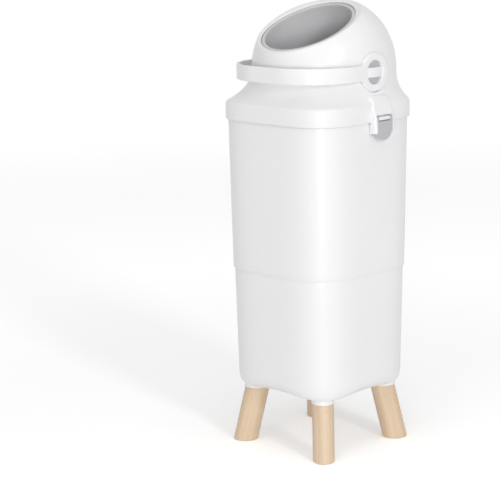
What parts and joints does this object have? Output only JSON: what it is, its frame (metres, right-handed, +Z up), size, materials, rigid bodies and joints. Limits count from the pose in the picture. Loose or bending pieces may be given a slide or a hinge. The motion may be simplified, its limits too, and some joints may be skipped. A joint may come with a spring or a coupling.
{
  "type": "nappy bin",
  "caption": "Tall square nappy bin on splayed wooden legs, with a hinged domed lid, a side latch and a turn-over drum worked by a bail handle.",
  "frame": {"origin": "on the floor, at the middle of the bin's bounding footprint", "axes": "+Z up; -Y is the front, where the handle rests; +X is the latch side and -X the hinge side"},
  "size_m": [0.288, 0.2703, 0.7835],
  "materials": {
    "white_plastic": "satin white moulded plastic",
    "pale_plastic": "pale warm grey moulded plastic",
    "grey_plastic": "mid grey satin plastic",
    "seal_rubber": "soft dark seal rubber",
    "leg_wood": "pale lacquered beech",
    "zinc_steel": "zinc plated",
    "iron": "plain cast plate"
  },
  "bodies": {
    "bin": {"lower_bucket": "white_plastic", "upper_sleeve": "white_plastic", "leg_front_left": "leg_wood", "leg_front_right": "leg_wood", "leg_back_left": "leg_wood", "leg_back_right": "leg_wood", "leg_bolts": "zinc_steel", "hinge_pin": "zinc_steel"},
    "lid": {"lid_housing": "white_plastic", "lid_base": "white_plastic", "lid_screws": "zinc_steel", "rim_gasket": "seal_rubber", "throat_seal": "seal_rubber", "opening_seal": "seal_rubber", "latch_pin": "zinc_steel"},
    "drum": {"drum_upper_half": "pale_plastic", "drum_lower_half": "pale_plastic", "drum_screws": "zinc_steel", "drum_tube": "grey_plastic", "tube_rim_a": "pale_plastic", "tube_rim_b": "pale_plastic", "axle_left": "grey_plastic", "axle_right": "grey_plastic", "handle": "white_plastic"},
    "piston": {"piston": "grey_plastic", "piston_weight": "iron", "piston_cover": "grey_plastic", "piston_ring": "seal_rubber"},
    "latch": {"latch_lever": "grey_plastic"}
  },
  "joints": [
    {"name": "lid_hinge", "type": "hinge", "parent": "bin", "child": "lid", "pos_m": [-0.1385, -0.003, 0.58], "axis": [0, -1, 0], "range_deg": [0, 95]},
    {"name": "drum_flip", "type": "hinge", "parent": "lid", "child": "drum", "pos_m": [0, 0.01, 0.667], "axis": [-1, 0, 0], "range_deg": [0, 180]},
    {"name": "piston_slide", "type": "slide", "parent": "drum", "child": "piston", "axis": [0, -0.4305, 0.9026], "range_m": [0, 0.1089]},
    {"name": "latch_pivot", "type": "hinge", "parent": "lid", "child": "latch", "pos_m": [0.1382, 0.01, 0.5905], "axis": [0, -1, 0], "range_deg": [0, 35]}
  ]
}
